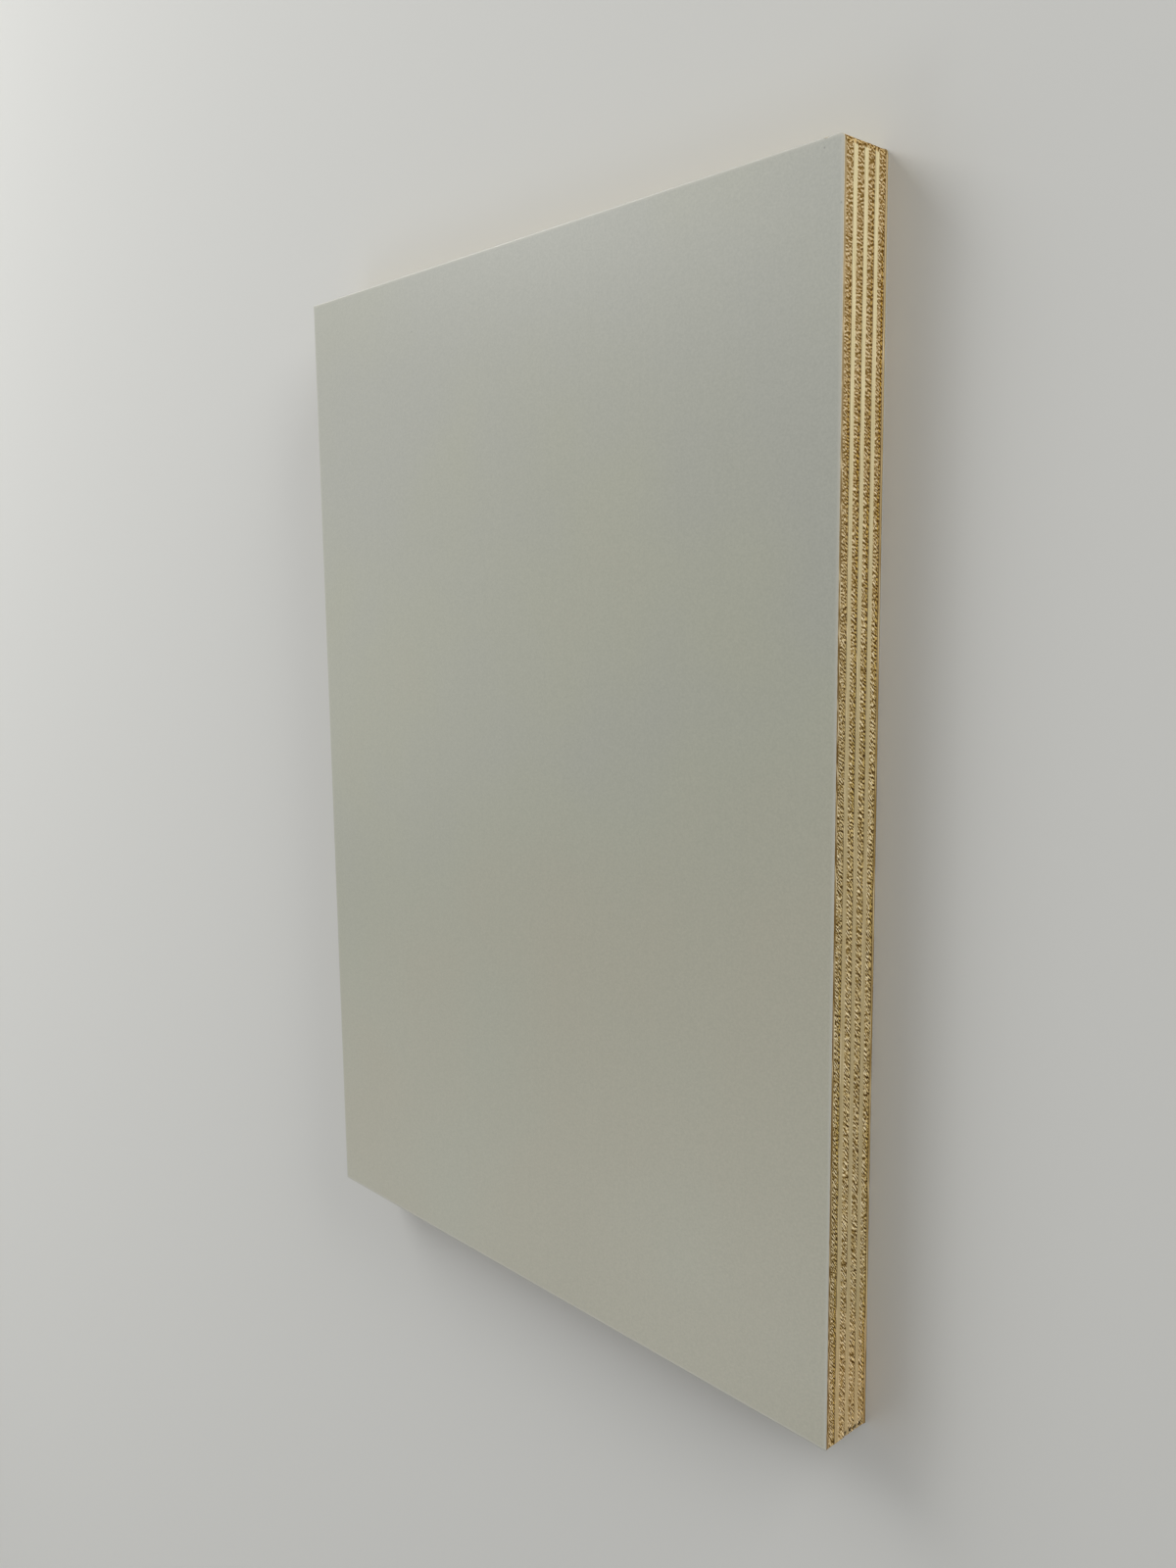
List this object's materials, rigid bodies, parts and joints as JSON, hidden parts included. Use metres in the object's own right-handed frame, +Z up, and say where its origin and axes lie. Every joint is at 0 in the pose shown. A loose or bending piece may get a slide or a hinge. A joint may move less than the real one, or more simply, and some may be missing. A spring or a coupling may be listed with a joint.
{
  "type": "plywood sheet",
  "caption": "Flat rectangular sheet of cross-laid veneers glued together under thin smooth overlays, with sawn edges that show every layer.",
  "frame": {"origin": "middle of the underside, on the floor the sheet lies on", "axes": "+X across the sheet, +Y along its length and the grain of the outer veneers, +Z up through the lay-up to the face"},
  "size_m": [0.21, 0.297, 0.0158],
  "materials": {
    "overlay": "satin",
    "outer_veneer": "matte",
    "crossband": "matte",
    "core_veneer": "matte"
  },
  "bodies": {
    "root": {"back_overlay": "overlay", "back_veneer": "outer_veneer", "crossband_1": "crossband", "core_veneer_1": "core_veneer", "crossband_2": "crossband", "centre_veneer": "core_veneer", "crossband_3": "crossband", "core_veneer_2": "core_veneer", "crossband_4": "crossband", "face_veneer": "outer_veneer", "face_overlay": "overlay"}
  },
  "joints": []
}
